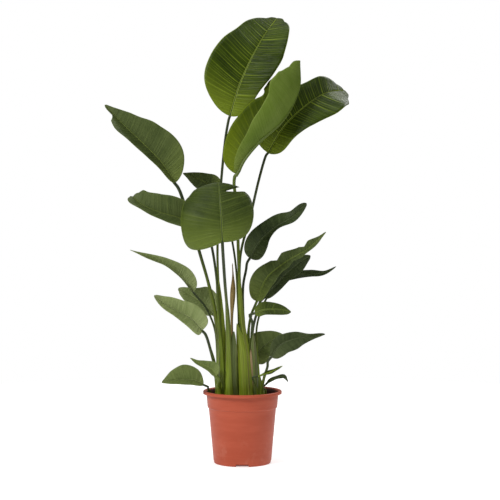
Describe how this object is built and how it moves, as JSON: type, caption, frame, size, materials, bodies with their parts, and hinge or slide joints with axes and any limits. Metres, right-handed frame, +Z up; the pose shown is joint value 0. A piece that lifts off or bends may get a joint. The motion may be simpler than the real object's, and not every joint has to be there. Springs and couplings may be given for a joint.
{
  "type": "potted bird of paradise plant",
  "caption": "Tall house plant in a round nursery pot: broad leaves on long upright stalks that rise in a fan from the soil.",
  "frame": {"origin": "centre of the flat face under the pot that it stands on", "axes": "+Z up along the pot's axis, +X to the plant's right, -Y to its front"},
  "size_m": [0.7448, 0.2925, 1.3645],
  "materials": {
    "terracotta_plastic": "matt moulded terracotta colour",
    "potting_soil": "moist crumbly peat",
    "old_leaf_green": "glossy dark green leaf",
    "full_leaf_green": "satin mid green leaf",
    "young_leaf_green": "satin yellow-green young leaf",
    "stalk_green": "satin bright green stalk",
    "dark_stalk_green": "satin dark green stalk",
    "dry_husk": "dry fibrous brown"
  },
  "bodies": {
    "root": {"nursery_pot": "terracotta_plastic", "potting_soil": "potting_soil", "top_leaf": "old_leaf_green", "top_leaf_stalk": "dark_stalk_green", "furled_leaf": "young_leaf_green", "furled_leaf_stalk": "stalk_green", "upper_right_leaf": "old_leaf_green", "upper_right_leaf_stalk": "dark_stalk_green", "upper_left_leaf": "full_leaf_green", "upper_left_leaf_stalk": "dark_stalk_green", "front_leaf": "full_leaf_green", "front_leaf_stalk": "dark_stalk_green", "middle_left_leaf": "full_leaf_green", "middle_left_leaf_stalk": "dark_stalk_green", "small_back_leaf": "old_leaf_green", "small_back_leaf_stalk": "dark_stalk_green", "twisted_leaf": "old_leaf_green", "twisted_leaf_stalk": "dark_stalk_green", "wavy_leaf": "full_leaf_green", "wavy_leaf_stalk": "stalk_green", "dark_right_leaf": "old_leaf_green", "dark_right_leaf_stalk": "dark_stalk_green", "slender_leaf": "old_leaf_green", "slender_leaf_stalk": "dark_stalk_green", "short_right_leaf": "full_leaf_green", "short_right_leaf_stalk": "dark_stalk_green", "long_tipped_leaf": "full_leaf_green", "long_tipped_leaf_stalk": "dark_stalk_green", "inner_left_leaf": "full_leaf_green", "inner_left_leaf_stalk": "stalk_green", "sage_leaf": "young_leaf_green", "sage_leaf_stalk": "dark_stalk_green", "curled_small_leaf": "young_leaf_green", "curled_small_leaf_stalk": "stalk_green", "lowest_leaf": "young_leaf_green", "lowest_leaf_stalk": "dark_stalk_green", "low_right_leaf": "full_leaf_green", "low_right_leaf_stalk": "dark_stalk_green", "long_low_leaf": "old_leaf_green", "long_low_leaf_stalk": "dark_stalk_green", "upper_seedling_leaf": "old_leaf_green", "upper_seedling_leaf_stalk": "dark_stalk_green", "hooked_seedling_leaf": "old_leaf_green", "hooked_seedling_leaf_stalk": "dark_stalk_green", "withered_husk": "dry_husk", "new_shoot": "stalk_green"}
  },
  "joints": []
}
